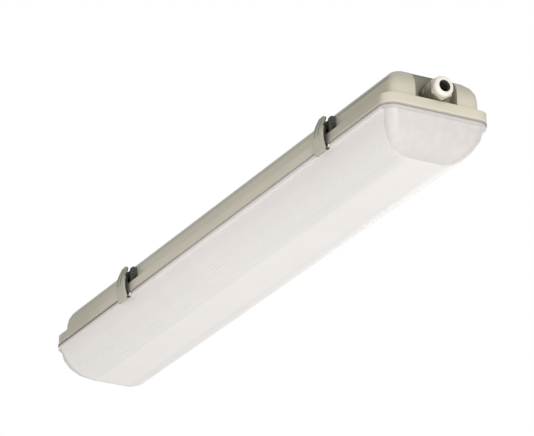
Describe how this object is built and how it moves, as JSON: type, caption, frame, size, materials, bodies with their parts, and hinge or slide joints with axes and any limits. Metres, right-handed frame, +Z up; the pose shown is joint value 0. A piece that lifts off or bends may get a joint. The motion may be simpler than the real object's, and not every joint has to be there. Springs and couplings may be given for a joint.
{
  "type": "vapor tight light fixture",
  "caption": "Ceiling-mounted vapor tight linear light fixture: sealed grey canopy with end cable gland, ribbed clear bowl diffuser held by side clips, tube lamp inside.",
  "frame": {"origin": "centre of the canopy's flat top, the face that meets the ceiling", "axes": "+X along the fixture towards the end with the cable gland, +Z up into the ceiling"},
  "size_m": [0.6695, 0.113, 0.075],
  "materials": {
    "housing_grey": "fine moulded grey-beige plastic",
    "seal_black": "soft black seal",
    "clear_diffuser": "ribbed, slightly milky clear plastic",
    "clip_grey": "greenish grey plastic",
    "bracket_grey": "dark greenish grey plastic",
    "gland_cream": "smooth cream plastic",
    "steel": "bright zinc-plated steel",
    "white_enamel": "white enamelled steel sheet",
    "white_plastic": "white plastic",
    "lamp_glass": "white phosphor-coated glass",
    "aluminium": "drawn aluminium",
    "brass": "bright brass",
    "gear_white": "off-white painted steel case",
    "wire_brown": "brown insulation",
    "wire_blue": "blue insulation",
    "wire_green": "green insulation",
    "wire_white": "white insulation"
  },
  "bodies": {
    "canopy": {"housing": "housing_grey", "gasket": "seal_black", "bracket_front_cable_end": "bracket_grey", "bracket_front_blind_end": "bracket_grey", "bracket_back_cable_end": "bracket_grey", "bracket_back_blind_end": "bracket_grey", "clip_pin_front_cable_end": "steel", "clip_pin_front_blind_end": "steel", "clip_pin_back_cable_end": "steel", "clip_pin_back_blind_end": "steel", "gland_body": "gland_cream", "gland_washer": "seal_black", "gland_lock_nut": "gland_cream", "gear_tray": "white_enamel", "lampholder_cable_end": "white_plastic", "lampholder_blind_end": "white_plastic", "ballast": "gear_white", "ballast_screw_1": "steel", "ballast_screw_2": "steel", "terminal_block": "white_plastic", "wire_live": "wire_brown", "wire_earth": "wire_green", "wire_neutral": "wire_blue", "lead_cable_end_1": "wire_white", "lead_cable_end_2": "wire_white", "lead_blind_end_1": "wire_white", "lead_blind_end_2": "wire_white", "fixing_seal_1": "seal_black", "fixing_seal_2": "seal_black"},
    "bowl": {"diffuser": "clear_diffuser"},
    "clip_fc": {"clip_front_cable_end": "clip_grey"},
    "clip_fb": {"clip_front_blind_end": "clip_grey"},
    "clip_bc": {"clip_back_cable_end": "clip_grey"},
    "clip_bb": {"clip_back_blind_end": "clip_grey"},
    "lamp": {"lamp_tube": "lamp_glass", "lamp_cap_cable_end": "aluminium", "lamp_cap_blind_end": "aluminium", "lamp_contact_front_cable_end": "brass", "lamp_contact_back_cable_end": "brass", "lamp_contact_front_blind_end": "brass", "lamp_contact_back_blind_end": "brass", "rotor_cable_end": "white_plastic", "rotor_blind_end": "white_plastic"},
    "fastener_1": {"tray_fastener_1": "white_plastic"},
    "fastener_2": {"tray_fastener_2": "white_plastic"},
    "gland_seal": {"gland_insert": "seal_black"},
    "gland_cap": {"gland_nut": "gland_cream"}
  },
  "joints": [
    {"name": "diffuser_drop", "type": "slide", "parent": "canopy", "child": "bowl", "axis": [0, 0, -1], "range_m": [0, 0.028]},
    {"name": "clip_front_cable_end_open", "type": "hinge", "parent": "canopy", "child": "clip_fc", "pos_m": [0.221, -0.0472, -0.02], "axis": [-1, 0, 0], "range_deg": [0, 50]},
    {"name": "clip_front_blind_end_open", "type": "hinge", "parent": "canopy", "child": "clip_fb", "pos_m": [-0.169, -0.0472, -0.02], "axis": [-1, 0, 0], "range_deg": [0, 50]},
    {"name": "clip_back_cable_end_open", "type": "hinge", "parent": "canopy", "child": "clip_bc", "pos_m": [0.221, 0.0472, -0.02], "axis": [1, 0, 0], "range_deg": [0, 50]},
    {"name": "clip_back_blind_end_open", "type": "hinge", "parent": "canopy", "child": "clip_bb", "pos_m": [-0.169, 0.0472, -0.02], "axis": [1, 0, 0], "range_deg": [0, 50]},
    {"name": "lamp_twist", "type": "hinge", "parent": "canopy", "child": "lamp", "pos_m": [0, 0, -0.0538], "axis": [1, 0, 0], "range_deg": [0, 90]},
    {"name": "tray_fastener_1_turn", "type": "hinge", "parent": "canopy", "child": "fastener_1", "pos_m": [0.2, 0.027, -0.0345], "axis": [0, 0, 1], "range_deg": [0, 90]},
    {"name": "tray_fastener_2_turn", "type": "hinge", "parent": "canopy", "child": "fastener_2", "pos_m": [-0.2, -0.027, -0.0345], "axis": [0, 0, 1], "range_deg": [0, 90]},
    {"name": "gland_seal_travel", "type": "slide", "parent": "canopy", "child": "gland_seal", "axis": [1, 0, 0], "range_m": [0, 0.003]},
    {"name": "gland_nut_turn", "type": "hinge", "parent": "gland_seal", "child": "gland_cap", "pos_m": [0.33, 0, -0.0193], "axis": [1, 0, 0], "range_deg": [0, 720]}
  ],
  "couplings": [
    {"joint": "clip_front_cable_end_open", "follows": "diffuser_drop", "rad_per_m": 31.167},
    {"joint": "clip_front_blind_end_open", "follows": "diffuser_drop", "rad_per_m": 31.167},
    {"joint": "clip_back_cable_end_open", "follows": "diffuser_drop", "rad_per_m": 31.167},
    {"joint": "clip_back_blind_end_open", "follows": "diffuser_drop", "rad_per_m": 31.167},
    {"joint": "gland_seal_travel", "follows": "gland_nut_turn", "m_per_rad": 0.00023873}
  ]
}
